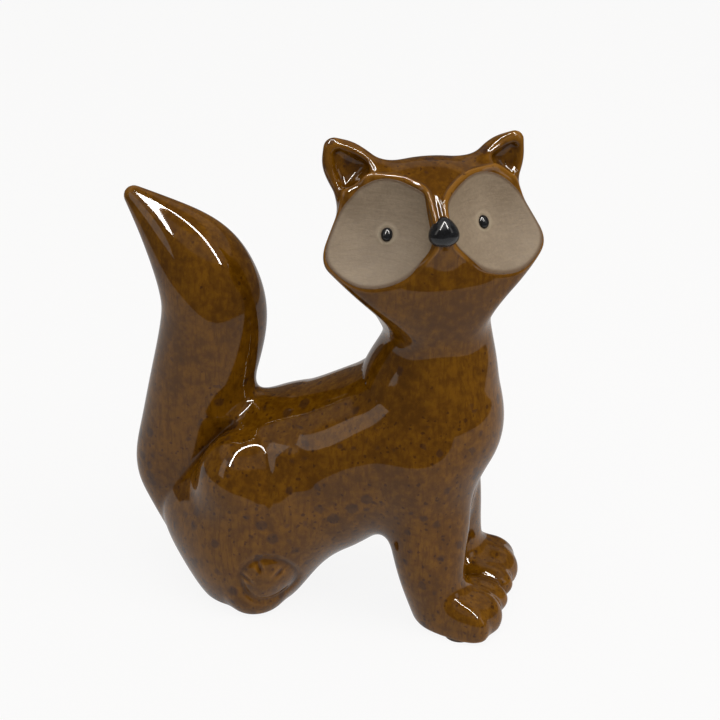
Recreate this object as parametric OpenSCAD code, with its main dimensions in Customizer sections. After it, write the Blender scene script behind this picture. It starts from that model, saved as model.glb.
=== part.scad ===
// Seated fox figurine in glazed stoneware, slip cast in separate pieces.
// The castings are joined with slip at the neck, shoulders, hips, ankles,
// tail root and ear roots, then glazed and fired as one object.
// Millimetres. The fox faces +X, its left side is +Y and it stands on z = 0.
// The head is turned to the fox's right. The origin is under the middle.

/* [Overall] */
// Height of the fired figurine from the soles to the right ear tip
fox_height = 162.5; // [80:0.5:320]
// Angle of the head from straight ahead toward the fox's right side
head_turn = 64.3; // [50:0.1:75]

/* [Casting] */
// Wall left by the slip in the torso, head and tail castings
wall = 5; // [4:0.5:6]
// Height of the unglazed sole band under each foot
sole_t = 0.8; // [0.4:0.1:1.2]
// Diameter of the kiln vent in the belly
vent_d = 3; // [2:0.5:3.5]

/* [Face] */
// Radius of the hollow that each eye patch is pressed into
dish_r = 31.7; // [30:0.1:34]
// Thickness of the bare clay left in each eye patch
patch_t = 1.2; // [0.8:0.1:2]
// Radius of an eye bead
eye_r = 2.1; // [1.5:0.1:2.6]
// Half width of the nose bead
nose_r = 4.8; // [4:0.1:5.5]

/* [Surface] */
// Grid step of the torso surface
torso_step = 4.5; // [3.8:0.1:5]
// Grid step of the head surface
head_step = 3.3; // [2.8:0.1:3.6]
// Grid step of the tail surface
tail_step = 3.2; // [2.8:0.1:3.6]
// Grid step of the legs and hips
leg_step = 3.2; // [2.8:0.1:3.6]
// Grid step of the front paws and ears
fine_step = 2.3; // [2:0.1:2.6]
// Grid step of the hollows inside the castings
hollow_step = 8; // [6:0.5:9]

/* [Hidden] */
design_height = 162.5;
size_factor = fox_height / design_height;

// Stations along the spine of the torso and neck: x, y, z, radius
torso_line = [
    [-32.8, 0, 25.7, 23.9],
    [-9.5, 0, 40.8, 29.3],
    [4.6, 0, 48.2, 27.9],
    [30.2, 0, 64.1, 26],
    [34.7, 0, 77.7, 22.1],
    [36.6, -1, 99.5, 16.8],
    [34.2, -3, 119.1, 17.7]
];
torso_flat = 0.95;

// Stations along the tail from the root to the tip
tail_line = [
    [-46.7, 0, 17.4, 9.5],
    [-51.4, 0, 34.5, 13],
    [-48.7, 0, 48.9, 15.6],
    [-37.5, 0, 92.1, 17.2],
    [-42.5, 0, 113.9, 14.4],
    [-63, 0, 134.2, 2.8]
];
tail_flat = 0.9;

// Rounds of the left hind leg: centre, half sizes, turn, tilt
haunch_round = [[-21.4, 9.5, 23.7], [23.2, 22.7, 31.8], 0, -14.5];
thigh_round = [[-23.5, 17.9, 44.7], [14.5, 11.8, 17.1], 0, 0];
hind_paw_round = [[-18, 21.8, 7.1], [9.6, 7.9, 9.1], -40, 0];

// Stations down the left front leg and the three toes of its paw
leg_line = [
    [34.2, 10.8, 58, 13.8],
    [36, 8.9, 40, 14.2],
    [39.2, 13.5, 20, 11.1],
    [42.2, 12.3, 6, 9.9]
];
toe_rounds = [
    [[52.9, 4.6, 5.4], [10.4, 6.1, 6.5], 2, 0],
    [[54.5, 14.5, 4.8], [8.7, 7.5, 8.3], 7, 0],
    [[50.1, 20.9, 4.7], [10.5, 4.9, 8.3], 16, 0]
];

// Head, in its own frame: x forward, y to the fox's left, z up
head_at = [37.4, -11, 128.8];
skull_round = [[-7.8, 0, -0.9], [18.1, 38.5, 28.2], 0, 8.7];
cheek_half = 36.4;
throat_slope = 1.01;
brow_slope = 0.61;
cheek_soft = 4.5;
// The skull narrows toward the nape from this half width, reached at nape_x
nape_half = 31.4;
nape_slope = 0.93;
nape_x = -9;
muzzle_line = [[0, 0, 9, 12], [8.5, 0, 12.5, 4]];
ear_line = [
    [-12.8, 20.5, 20.3, 8.7],
    [-15.3, 24.7, 25.3, 6.9],
    [-15.1, 28.3, 30.6, 3.1]
];
ear_hollow_line = [
    [-8.8, 20.8, 20, 5.8],
    [-11.4, 24.4, 24.8, 4.7],
    [-13.2, 27.2, 28.6, 1.8]
];
ear_flat = 0.6;
// The left ear sits a little lower and further in than the right one
left_ear_shift = [0, -1, -1.5];

// Eye patch hollow: its deepest point and the way it faces
dish_low = [-1.8, 15.1, 8];
dish_turn = 27.3;
dish_tilt = 25.3;
// The left hollow sits this much higher and the right one this much lower
dish_lift = 0.9;
// Bridge of the nose and chin, left standing between the hollows
bridge_line = [
    [-2, 0, 26, 3],
    [5.2, 0, 18, 3],
    [6.4, 0, 11.5, 4.4],
    [4, 0, 3, 7.6],
    [-5, 0, -8, 14]
];
eye_at = [-1.6, 14.8, 8];
nose_at = [9.3, -0.2, 11.4];

// Softness of the joins between neighbouring rounds
hip_soft = 8;
thigh_soft = 4;
paw_soft = 3;
toe_soft = 2;
ankle_soft = 5;
shoulder_soft = 7;
neck_soft = 8;
rim_soft = 2.4;

// Joint planes between the castings
neck_joint_z = 103;
shoulder_at = [22, 0, 21];
shoulder_tilt = 44;
ankle_at = [42, 0, 13.5];
ankle_tilt = 27;
hip_half = 17;
hip_at = [-29, 0, 37];
hip_r = 26.5;
hind_paw_half = 11.5;
hind_paw_at = [-18, 0, 3];
hind_paw_r = 13;

vent_x = -12.5;

// Unglazed soles
front_heel = [42.5, 12];
front_heel_r = 7;
front_toe_r = 5;
front_toes = [[51.5, 6], [53.5, 14], [50.5, 20]];
hind_heel = [-25.5, 12.4];
hind_heel_r = 11;
hind_toe = [-19, 16.8];
hind_toe_r = 8;

// Smooth rounding between two closeness values
function blend(a, b, k) = let(h = max(0, min(1, 0.5 + 0.5 * (b - a) / k))) b + (a - b) * h - k * h * (1 - h);
function carve(a, b, k) = -blend(-a, -b, k);

// Point turned back by a turn about z and a tilt about y
function turned(p, turn, tilt) =
    let(
        x = p.x * cos(turn) + p.y * sin(turn),
        y = p.y * cos(turn) - p.x * sin(turn)
    )
    [x * cos(tilt) + p.z * sin(tilt), y, p.z * cos(tilt) - x * sin(tilt)];

// Closeness of a point to a stretched round, below zero inside
function round_gap(p, e) =
    let(
        q = turned(p - e[0], e[2], e[3]),
        s = [q.x / e[1].x, q.y / e[1].y, q.z / e[1].z],
        g = [s.x / e[1].x, s.y / e[1].y, s.z / e[1].z],
        k = norm(s)
    )
    k * (k - 1) / max(norm(g), 0.0001);

// Smooth curve through stations, cut into short lengths
function curve_point(s, i, t) =
    let(
        n = len(s) - 1,
        a = i == 0 ? 2 * s[0] - s[1] : s[i - 1],
        b = s[i],
        c = s[i + 1],
        d = i + 2 > n ? 2 * s[n] - s[n - 1] : s[i + 2]
    )
    0.5 * (2 * b + (c - a) * t + (2 * a - 5 * b + 4 * c - d) * t * t + (3 * b - a - 3 * c + d) * t * t * t);
function lengths(s, cuts) =
    let(
        n = len(s) - 1,
        pts = [for (i = [0:n - 1]) for (j = [0:cuts - 1]) curve_point(s, i, j / cuts)],
        all_pts = concat(pts, [s[n]])
    )
    [for (i = [0:len(all_pts) - 2])
        let(
            a = [all_pts[i].x, all_pts[i].y, all_pts[i].z],
            b = [all_pts[i + 1].x, all_pts[i + 1].y, all_pts[i + 1].z]
        )
        [a, b - a, 1 / ((b - a) * (b - a)), all_pts[i][3], all_pts[i + 1][3] - all_pts[i][3]]
    ];

// Stations squeezed along one axis so that the curve can be flattened
function squeezed(s, x, y) = [for (p = s) [p.x / x, p.y / y, p.z, p[3]]];

// Closeness of a point to a curve with a changing radius
function curve_gap(p, c) =
    min([for (k = c)
        let(
            d = p - k[0],
            t = max(0, min(1, (d * k[1]) * k[2]))
        )
        norm(d - t * k[1]) - k[3] - k[4] * t
    ]);

torso_curve = lengths(squeezed(torso_line, 1, torso_flat), 4);
tail_curve = lengths(squeezed(tail_line, 1, tail_flat), 4);
leg_curve = lengths(leg_line, 3);
muzzle_curve = lengths(muzzle_line, 1);
bridge_curve = lengths(bridge_line, 1);
ear_curve = lengths(squeezed(ear_line, ear_flat, 1), 2);
ear_hollow_curve = lengths(squeezed(ear_hollow_line, ear_flat, 1), 2);
dish_way = [cos(dish_tilt) * cos(dish_turn), cos(dish_tilt) * sin(dish_turn), sin(dish_tilt)];
dish_centre = dish_low + dish_r * dish_way;

function torso_gap(p) = torso_flat * curve_gap([p.x, p.y / torso_flat, p.z], torso_curve);
function tail_gap(p) = tail_flat * curve_gap([p.x, p.y / tail_flat, p.z], tail_curve);
function toes_gap(q) =
    let(inner = blend(round_gap(q, toe_rounds[0]), round_gap(q, toe_rounds[1]), toe_soft))
    blend(inner, round_gap(q, toe_rounds[2]), toe_soft);
function front_leg_gap(q) = blend(curve_gap(q, leg_curve), toes_gap(q), ankle_soft);
function hind_gap(base, q) =
    let(
        hip = blend(base, round_gap(q, haunch_round), hip_soft),
        thigh = blend(hip, round_gap(q, thigh_round), thigh_soft)
    )
    blend(thigh, round_gap(q, hind_paw_round), paw_soft);
function mirrored(p) = [p.x, -p.y, p.z];
function rear_gap(p) = hind_gap(hind_gap(torso_gap(p), mirrored(p)), p);
function front_gap(base, p) =
    let(right = blend(base, front_leg_gap(mirrored(p)), shoulder_soft))
    blend(right, front_leg_gap(p), shoulder_soft);
function body_gap(p) = p.x < -3 ? rear_gap(p) : p.z > 85 ? torso_gap(p) : front_gap(rear_gap(p), p);

// Head values are worked out in the head's own frame
function head_frame(p) = turned(p - head_at, -head_turn, 0);
function body_frame(q) = turned(q, head_turn, 0) + head_at;
function skull_gap(q) =
    let(
        low = (abs(q.y) - cheek_half - throat_slope * q.z) / norm([1, throat_slope]),
        high = (abs(q.y) - cheek_half + brow_slope * q.z) / norm([1, brow_slope]),
        nape = (abs(q.y) - nape_half - nape_slope * (q.x - nape_x)) / norm([1, nape_slope]),
        ball = carve(carve(high, low, cheek_soft), round_gap(q, skull_round), cheek_soft),
        skull = carve(ball, nape, cheek_soft)
    )
    blend(skull, curve_gap(q, muzzle_curve), ankle_soft);
function dish_gap(q) =
    let(ball = norm([q.x, abs(q.y), q.z - dish_lift * sign(q.y)] - dish_centre) - dish_r)
    max(ball, -curve_gap(q, bridge_curve));
function head_gap(q) = blend(torso_gap(body_frame(q)), skull_gap(q), neck_soft);
function dished_head_gap(q) = max(head_gap(q), -dish_gap(q));
function ear_gap(q) = ear_flat * curve_gap([q.x / ear_flat, q.y, q.z], ear_curve);
function ear_hollow_gap(q) = ear_flat * curve_gap([q.x / ear_flat, q.y, q.z], ear_hollow_curve);
function cupped_ear_gap(q) = carve(ear_gap(q), -ear_hollow_gap(q), rim_soft);

// Surface where a closeness function crosses zero inside a box of cells
function slope_at(f, p, e) =
    let(
        x = f(p + [e, 0, 0]) - f(p - [e, 0, 0]),
        y = f(p + [0, e, 0]) - f(p - [0, e, 0]),
        z = f(p + [0, 0, e]) - f(p - [0, 0, e])
    )
    [x, y, z] / (2 * e);
function settled(f, p, step) =
    let(
        g = slope_at(f, p, 0.2),
        m = g * g,
        s = f(p) / max(m, 0.2)
    )
    p - g * max(-step / 2, min(step / 2, s));
cell_corners = [[0, 0, 0], [1, 0, 0], [0, 1, 0], [1, 1, 0], [0, 0, 1], [1, 0, 1], [0, 1, 1], [1, 1, 1]];
cell_edges = [
    [0, 1], [2, 3], [4, 5], [6, 7],
    [0, 2], [1, 3], [4, 6], [5, 7],
    [0, 4], [1, 5], [2, 6], [3, 7]
];
module surface_of(f, low, high, step) {
    n = [for (i = [0:2]) ceil((high[i] - low[i]) / step)];
    m = n + [1, 1, 1];
    // Values at the grid points, with the outermost layer kept outside
    v = [for (k = [0:n.z]) for (j = [0:n.y]) for (i = [0:n.x])
        i * j * k == 0 || i == n.x || j == n.y || k == n.z ? 1 : f(low + step * [i, j, k])
    ];
    function at(i, j, k) = v[i + m.x * (j + m.y * k)];
    function crossed(i, j, k) =
        let(s = [for (c = cell_corners) if (at(i + c.x, j + c.y, k + c.z) < 0) 1])
        len(s) > 0 && len(s) < 8;
    // Cells that the surface passes through, and the running number of each
    live = [for (k = [0:n.z - 1]) for (j = [0:n.y - 1]) for (i = [0:n.x - 1]) crossed(i, j, k) ? 1 : 0];
    number = [for (i = 0, c = 0; i < len(live); c = c + live[i], i = i + 1) c];
    function cell(i, j, k) = number[i + n.x * (j + n.y * k)];
    points = [for (k = [0:n.z - 1]) for (j = [0:n.y - 1]) for (i = [0:n.x - 1])
        if (live[i + n.x * (j + n.y * k)] == 1)
        let(
            c = [for (d = cell_corners) at(i + d.x, j + d.y, k + d.z)],
            cuts = [for (e = cell_edges)
                if ((c[e[0]] < 0) != (c[e[1]] < 0))
                let(t = c[e[0]] / (c[e[0]] - c[e[1]]))
                cell_corners[e[0]] * (1 - t) + cell_corners[e[1]] * t
            ],
            middle = [for (w = cuts) 1] * cuts / len(cuts)
        )
        settled(f, low + step * ([i, j, k] + middle), step)
    ];
    // Two triangles across every grid edge that the surface crosses
    faces = [for (k = [0:n.z - 1]) for (j = [0:n.y - 1]) for (i = [0:n.x - 1])
        let(
            here = at(i, j, k) < 0,
            along_x = at(i + 1, j, k) < 0,
            along_y = at(i, j + 1, k) < 0,
            along_z = at(i, j, k + 1) < 0,
            quads = [
                if (j * k > 0 && here != along_x)
                [here, cell(i, j - 1, k - 1), cell(i, j, k - 1), cell(i, j, k), cell(i, j - 1, k)],
                if (i * k > 0 && here != along_y)
                [here, cell(i - 1, j, k - 1), cell(i - 1, j, k), cell(i, j, k), cell(i, j, k - 1)],
                if (i * j > 0 && here != along_z)
                [here, cell(i - 1, j - 1, k), cell(i, j - 1, k), cell(i, j, k), cell(i - 1, j, k)]
            ]
        )
        for (q = quads)
        for (t = q[0] ? [[q[1], q[4], q[3]], [q[1], q[3], q[2]]] : [[q[1], q[2], q[3]], [q[1], q[3], q[4]]])
        t
    ];
    polyhedron(points, faces, convexity = 6);
}

// Hollow of an eye patch, kept off the bridge of the nose and the chin
module dish(side, extra) {
    difference() {
        translate([dish_centre.x, side * dish_centre.y, dish_centre.z + side * dish_lift])
            sphere(dish_r + extra, $fn = 48);
        for (i = [0:len(bridge_line) - 2])
            hull() {
                bridge_ball(bridge_line[i], extra / 2);
                bridge_ball(bridge_line[i + 1], extra / 2);
            }
        translate([-big / 2, side < 0 ? 0 : -big, -big / 2]) cube(big);
    }
}
module bridge_ball(station, less) {
    translate([station.x, station.y, station.z]) sphere(station[3] - less, $fn = 24);
}

// Everything inside is worked out as one closed skin
module one_skin() {
    resize([0, 0, 0]) children();
}
module sized() {
    scale(size_factor) children();
}
module in_head_frame() {
    translate(head_at)
        rotate([0, 0, -head_turn])
            children();
}
module on_side(side) {
    if (side < 0) mirror([0, 1, 0]) children();
    else children();
}

// Half spaces that cut the castings apart
big = 400;
module above(z) {
    translate([-big / 2, -big / 2, z]) cube(big);
}
module left_half() {
    translate([-big / 2, 0, -big / 2]) cube(big);
}
module below_shoulder() {
    intersection() {
        translate(shoulder_at)
            rotate([0, -shoulder_tilt, 0])
                translate([-big / 2, -big / 2, -big]) cube(big);
        translate([shoulder_at.x, -big / 2, -big / 2]) cube(big);
    }
}
module below_ankle() {
    translate(ankle_at)
        rotate([0, -ankle_tilt, 0])
            translate([-big / 2, -big / 2, -big]) cube(big);
}
module hip_region() {
    translate([hip_at.x, hip_half + hip_at.y, hip_at.z])
        rotate([-90, 0, 0])
            cylinder(r = hip_r, h = big, $fn = 72);
}
module hind_paw_region() {
    translate([hind_paw_at.x, hind_paw_half + hind_paw_at.y, hind_paw_at.z])
        rotate([-90, 0, 0])
            cylinder(r = hind_paw_r, h = big, $fn = 48);
}

// Skins shared by the castings on both sides of a joint
module body_skin() {
    surface_of(function(p) body_gap(p), [-62, -36, -4], [66, 36, 112], torso_step);
}
module hind_skin() {
    surface_of(function(p) rear_gap(p), [-62, 6, -4], [4, 36, 68], leg_step);
}
module front_skin() {
    surface_of(function(p) front_gap(torso_gap(p), p), [12, -5, -4], [68, 32, 66], leg_step);
}
module paw_skin() {
    surface_of(function(p) front_leg_gap(p), [24, -5, -4], [67, 30, 27], fine_step);
}
module head_skin() {
    surface_of(function(q) head_gap(q), [-34, -40, -34], [20, 40, 34], head_step);
}
module ear_skin() {
    surface_of(function(q) cupped_ear_gap(q), [-24, 4, 4], [-2, 38, 37], fine_step);
}
module torso_hollow() {
    surface_of(function(p) torso_gap(p) + wall, [-60, -28, 0], [62, 28, 116], hollow_step);
}
module head_hollow() {
    surface_of(function(q) dished_head_gap(q) + wall, [-34, -40, -34], [20, 40, 34], hollow_step);
}
module tail_hollow() {
    surface_of(function(p) tail_gap(p) + wall, [-66, -16, 10], [-18, 16, 122], hollow_step);
}

// Unglazed soles of the left side
module front_sole_shape() {
    translate(front_heel) circle(front_heel_r, $fn = 48);
    for (t = front_toes)
        translate(t) circle(front_toe_r, $fn = 36);
    polygon([
        front_heel + [0, -front_heel_r],
        front_toes[0] + [0, -4.5],
        front_toes[1] + [4, 0],
        front_toes[2] + [1, 4.5],
        front_heel + [0, front_heel_r]
    ]);
}
module hind_sole_shape() {
    translate(hind_heel) circle(hind_heel_r, $fn = 60);
    translate(hind_toe) circle(hind_toe_r, $fn = 36);
}
module soles_cut() {
    for (side = [-1, 1])
        on_side(side)
            linear_extrude(sole_t) {
                front_sole_shape();
                hind_sole_shape();
            }
}
module above_soles() {
    translate([-big / 2, -big / 2, sole_t / 2]) cube(big);
}

module torso() {
    color([0.48, 0.27, 0.08])
        sized()
            one_skin()
                difference() {
                    intersection() {
                        body_skin();
                        above_soles();
                    }
                    above(neck_joint_z);
                    below_shoulder();
                    for (side = [-1, 1])
                        on_side(side) {
                            hip_region();
                            hind_paw_region();
                        }
                    difference() {
                        torso_hollow();
                        for (side = [-1, 1])
                            on_side(side) hip_wall();
                    }
                    translate([vent_x, 0, -1]) cylinder(d = vent_d, h = 30, $fn = 24);
                    soles_cut();
                }
}
module hip_wall() {
    translate([hip_at.x, hip_half - wall, hip_at.z])
        rotate([-90, 0, 0])
            cylinder(r = hip_r + wall, h = big, $fn = 48);
}

module hind_leg(side) {
    color([0.5, 0.29, 0.09])
        sized()
            on_side(side)
                one_skin()
                    difference() {
                        intersection() {
                            hind_skin();
                            hip_region();
                            above_soles();
                        }
                        hind_paw_region();
                        soles_cut();
                    }
}
module hind_paw(side) {
    color([0.52, 0.31, 0.1])
        sized()
            on_side(side)
                one_skin()
                    difference() {
                        intersection() {
                            hind_skin();
                            hind_paw_region();
                            above_soles();
                        }
                        soles_cut();
                    }
}
module front_leg(side) {
    color([0.5, 0.29, 0.09])
        sized()
            on_side(side)
                one_skin()
                    difference() {
                        intersection() {
                            front_skin();
                            below_shoulder();
                            left_half();
                            above_soles();
                        }
                        below_ankle();
                        soles_cut();
                    }
}
module front_paw(side) {
    color([0.54, 0.32, 0.1])
        sized()
            on_side(side)
                one_skin()
                    difference() {
                        intersection() {
                            paw_skin();
                            below_ankle();
                            left_half();
                            above_soles();
                        }
                        soles_cut();
                    }
}
module front_sole(side) {
    color([0.62, 0.53, 0.43])
        sized()
            on_side(side)
                linear_extrude(sole_t) front_sole_shape();
}
module hind_sole(side) {
    color([0.62, 0.53, 0.43])
        sized()
            on_side(side)
                linear_extrude(sole_t) hind_sole_shape();
}
module tail() {
    color([0.46, 0.26, 0.08])
        sized()
            one_skin()
                difference() {
                    surface_of(function(p) tail_gap(p), [-70, -20, 4], [-14, 20, 142], tail_step);
                    body_skin();
                    hind_blocks();
                    tail_hollow();
                }
}
module hind_blocks() {
    for (side = [-1, 1])
        on_side(side)
            intersection() {
                hind_skin();
                hip_region();
            }
}
module head() {
    color([0.5, 0.28, 0.08])
        sized()
            one_skin()
                difference() {
                    intersection() {
                        in_head_frame() head_skin();
                        above(neck_joint_z);
                    }
                    in_head_frame() {
                        dish(1, patch_t);
                        dish(-1, patch_t);
                        head_hollow();
                        nose_bead();
                        eye_bead(1);
                        eye_bead(-1);
                    }
                }
}
module ear(side) {
    color([0.44, 0.25, 0.08])
        sized()
            one_skin()
                in_head_frame()
                    difference() {
                        translate(side > 0 ? left_ear_shift : [0, 0, 0])
                            on_side(side) ear_skin();
                        head_skin();
                    }
}
module eye_patch(side) {
    color([0.6, 0.52, 0.43])
        sized()
            one_skin()
                in_head_frame()
                    difference() {
                        intersection() {
                            head_skin();
                            dish(side, patch_t);
                        }
                        dish(side, 0);
                        nose_bead();
                        eye_bead(side);
                    }
}
module eye_bead(side) {
    translate([eye_at.x, side * eye_at.y, eye_at.z + side * dish_lift]) sphere(eye_r, $fn = 32);
}
module nose_bead() {
    translate(nose_at) sphere(nose_r, $fn = 48);
}
module eye(side) {
    color([0.03, 0.03, 0.03])
        sized()
            in_head_frame()
                eye_bead(side);
}
module nose() {
    color([0.05, 0.05, 0.06])
        sized()
            in_head_frame()
                nose_bead();
}

torso();
head();
tail();
ear(1);  // ear_left
ear(-1);  // ear_right
front_leg(1);  // front_leg_left
front_leg(-1);  // front_leg_right
front_paw(1);  // front_paw_left
front_paw(-1);  // front_paw_right
hind_leg(1);  // hind_leg_left
hind_leg(-1);  // hind_leg_right
hind_paw(1);  // hind_paw_left
hind_paw(-1);  // hind_paw_right
eye_patch(1);  // eye_patch_left
eye_patch(-1);  // eye_patch_right
eye(1);  // eye_left
eye(-1);  // eye_right
nose();
front_sole(1);  // front_sole_left
front_sole(-1);  // front_sole_right
hind_sole(1);  // hind_sole_left
hind_sole(-1);  // hind_sole_right
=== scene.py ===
"""Seated fox figurine in honey-brown glazed stoneware, laid out as an add-on.

The glazed castings share one blended skin. It can't be written as a single
surface of two parameters, because thirteen rounded castings run into each
other, so it is worked out as a closeness field in whole numpy arrays and cut
into its castings along their joints. Beads and soles are surfaces of two
parameters. Tables are in millimetres, meshes in metres, +X is the fox's front.
"""

import bpy
import numpy as np
from bpy.props import FloatProperty, FloatVectorProperty, PointerProperty
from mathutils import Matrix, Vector


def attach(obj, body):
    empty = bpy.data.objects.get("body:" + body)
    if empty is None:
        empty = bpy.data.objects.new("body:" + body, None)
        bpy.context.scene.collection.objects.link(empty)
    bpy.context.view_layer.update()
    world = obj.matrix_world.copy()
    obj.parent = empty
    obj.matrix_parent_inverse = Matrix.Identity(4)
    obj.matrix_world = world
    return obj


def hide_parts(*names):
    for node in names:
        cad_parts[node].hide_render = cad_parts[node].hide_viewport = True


bl_info = {
    "name": "Glazed Fox Figurine",
    "version": (1, 0, 0),
    "blender": (4, 5, 0),
    "location": "3D View > Sidebar > Fox",
    "description": "Castings, clay eye patches, beads, glaze and studio of a seated stoneware fox",
    "category": "Add Mesh",
}

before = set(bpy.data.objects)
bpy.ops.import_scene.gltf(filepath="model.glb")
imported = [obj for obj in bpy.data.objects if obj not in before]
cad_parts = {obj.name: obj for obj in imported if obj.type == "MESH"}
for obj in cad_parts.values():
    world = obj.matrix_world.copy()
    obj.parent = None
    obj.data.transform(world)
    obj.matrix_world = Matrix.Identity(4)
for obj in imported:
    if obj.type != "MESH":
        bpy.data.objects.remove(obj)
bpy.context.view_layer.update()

MM = 0.001

# ---------------------------------------------------------------- shape tables
# A line lists stations: x, y, z and the radius of the ball carried along it.
# A stretched ball is its centre, its half sizes, and its turn about z and tilt
# about y in degrees. A SOFT value is the width over which neighbours run together.

TORSO_LINE = [
    (-32.8, 0, 25.7, 23.9), (-9.5, 0, 40.8, 29.3), (4.6, 0, 48.2, 27.9),
    (30.2, 0, 64.1, 26), (34.7, 0, 77.7, 22.1), (36.6, -1, 99.5, 16.8), (34.2, -3, 119.1, 17.7),
]
TORSO_FLAT = 0.95
NAPE_FILL, NAPE_FILL_SOFT = ((26.5, 0, 79), (9.5, 14, 11), 0, 0), 10
TAIL_LINE = [
    (-46.7, 0, 17.4, 9.5), (-51.4, 0, 34.5, 13), (-48.7, 0, 48.9, 15.6),
    (-37.5, 0, 92.1, 17.2), (-42.5, 0, 113.9, 14.4), (-62.4, 0, 133.7, 3.3),
]
TAIL_FLAT = 0.9
CREASE_SOFT, NOTCH_SOFT, NOTCH_Z = 1.5, 7.5, (57, 65)
HAUNCH, HAUNCH_SOFT = ((-21.4, 9.5, 23.7), (23.2, 22.7, 31.8), 0, -14.5), 8
THIGH, THIGH_SOFT = ((-23.5, 17.9, 44.7), (14.5, 11.8, 17.1), 0, 0), 4
LEFT_THIGH_DROP = 3.0
HIND_PAW, HIND_PAW_SOFT = ((-18, 21.8, 7.1), (9.6, 7.9, 9.1), -40, 0), 3
LEG_LINE = [
    (34.2, 10.8, 58, 13.8), (36, 8.9, 40, 14.2), (39.2, 13.5, 20, 11.1), (42.2, 12.3, 6, 9.9),
]
LEG_SOFT, PAIR_SOFT, PAIR_SOFTER, PAIR_Z = 7, 1.6, 5.4, (14, 34)
TOES = [
    ((52.9, 4.6, 5.4), (10.4, 6.1, 6.5), 2, 0),
    ((54.5, 14.5, 4.8), (8.7, 7.5, 8.3), 7, 0),
    ((50.1, 20.9, 4.7), (10.5, 4.9, 8.3), 16, 0),
]
TOE_SOFT, ANKLE_SOFT = 4.6, 5.5
LEGS_TOP_Z, HIND_LEGS_X, FRONT_LEGS_X = 88, 16, -3

# Relief on the flanks, as seen from the side: x and z
FLANK_Y = (8, 16)
THIGH_RISE, THIGH_MIDDLE, THIGH_SPREAD = 1.5, (-24, 49), (8.5, 11)
GROOVE_DEPTH, GROOVE_WIDTH, GROOVE_TOP, GROOVE_LOW = 0.5, 2.0, (62, 56), (32, 38)
GROOVE_X, GROOVE_Z, GROOVE_BOW = -11.2, 44.5, 0.014
OVAL_MIDDLE, OVAL_HALF, OVAL_MEAN = (-12.3, 16.2), (8.2, 8.9), 8.5
RING_DEPTH, RING_WIDTH, OVAL_RISE, OVAL_SLOPE = 0.7, 1.3, 1.2, (-0.5, -6)
TOE_MARKS = ((-18.2, 17.0, 0.9), (-13.9, 21.8, 0.3), (-8.2, 19.0, -0.6))
MARK_DEPTH, MARK_WIDTH, MARK_LENGTH = 0.6, 0.8, 2.2

# Head, in its own axes
HEAD_AT = np.array((37.4, -11, 128.8))
HEAD_TURN = 64.3
SKULL = ((-7.8, 0, -0.9), (18.1, 38.5, 28.2), 0, 8.7)
SKULL_SOFT, MUZZLE_SOFT, NECK_SOFT, EAR_SOFT, CUP_SOFT = 4.5, 5, 8, 4, 1.4
CHEEK_HALF, THROAT_SLOPE, BROW_SLOPE = 36.4, 1.01, 0.61
NAPE_HALF, NAPE_SLOPE, NAPE_X = 31.0, 0.93, -9
LEFT_THROAT, LEFT_BROW, LEFT_NAPE, LEFT_FADE = -0.7, 1.1, 1.2, 6
MUZZLE_LINE = [(0, 0, 9, 12), (8.5, 0, 12.5, 4)]
EAR_LINE = [(-12.8, 20.5, 20.3, 8.7), (-15.3, 24.7, 25.3, 6.9), (-15.1, 28.3, 30.6, 3.1)]
EAR_HOLLOW_LINE = [(-8.8, 20.8, 20, 5.8), (-11.4, 24.4, 24.8, 4.7), (-13.2, 27.2, 28.6, 1.8)]
EAR_FLAT = 0.6
LEFT_EAR_SHIFT = np.array((0, -1, -1.5))
HEAD_LOW_Z, HEAD_BACK_X, EARS_LOW_Z = 88, -14, 3
DISH_LOW = np.array((-1.8, 15.1, 8))
DISH_TURN, DISH_TILT = np.radians(27.3), np.radians(25.3)
DISH_WAY = np.array((
    np.cos(DISH_TILT) * np.cos(DISH_TURN),
    np.cos(DISH_TILT) * np.sin(DISH_TURN),
    np.sin(DISH_TILT),
))
DISH_RADIUS = 31.7
DISH_CENTRE = DISH_LOW + DISH_RADIUS * DISH_WAY
DISH_LIFT, DISH_LIFT_FADE = 0.9, 3
BRIDGE_HALF, CHIN_Z, CHIN_FLARE, CHIN_ROUND = 2.5, 7.5, 0.43, 4
BRIDGE_Y, BRIDGE_LEAN, BRIDGE_SOFT = 0.8, -0.13, 1.4
RIM_RISE, RIM_BASE, RIM_OUT, RIM_WIDTH = 0.62, 0.03, 0.75, 0.8
RIM_EDGE_SOFT, BARE_EDGE_SOFT, RIM_WAY, RIM_FADE = 1.2, 1.7, (0.95, -0.45), (-4, 8)
EYE_AT = np.array((-1.6, 14.8, 8))
EYE_RING_RISE, EYE_RING_FAR, EYE_RING_WIDTH = 0.24, 2.75, 0.55
EYE_THICK, EYE_TALL = 1.5, 1.18
NOSE_AT = np.array((10.8, -0.5, 11.9))
NOSE_THICK, NOSE_TALL, NOSE_WAY = 4.0, 4.6, (1, 0, 0.1)
NOSE_NARROWING, NOSE_ROUNDING, NOSE_DROOP = 0.24, 0.08, 0.35

# Joints between the castings. A round cut is its x and z, its radius and where it starts in y
NECK_Z = 103.0
SOLE_Z, SOLE_SOFT = 0.4, 1.2
SHOULDER_AT, SHOULDER_TILT = np.array((22, 0, 21)), np.radians(44)
ANKLE_AT, ANKLE_TILT = np.array((42, 0, 13.5)), np.radians(27)
HIP_CUT = ((-29, 37), 26.5, 17)
HIND_PAW_CUT = ((-18, 3), 13, 11.5)
TAIL_FRONT_X = -6
EAR_CUT = 6
PATCH_CUT, BALL_CUT = 0.25, 1.2

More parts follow.
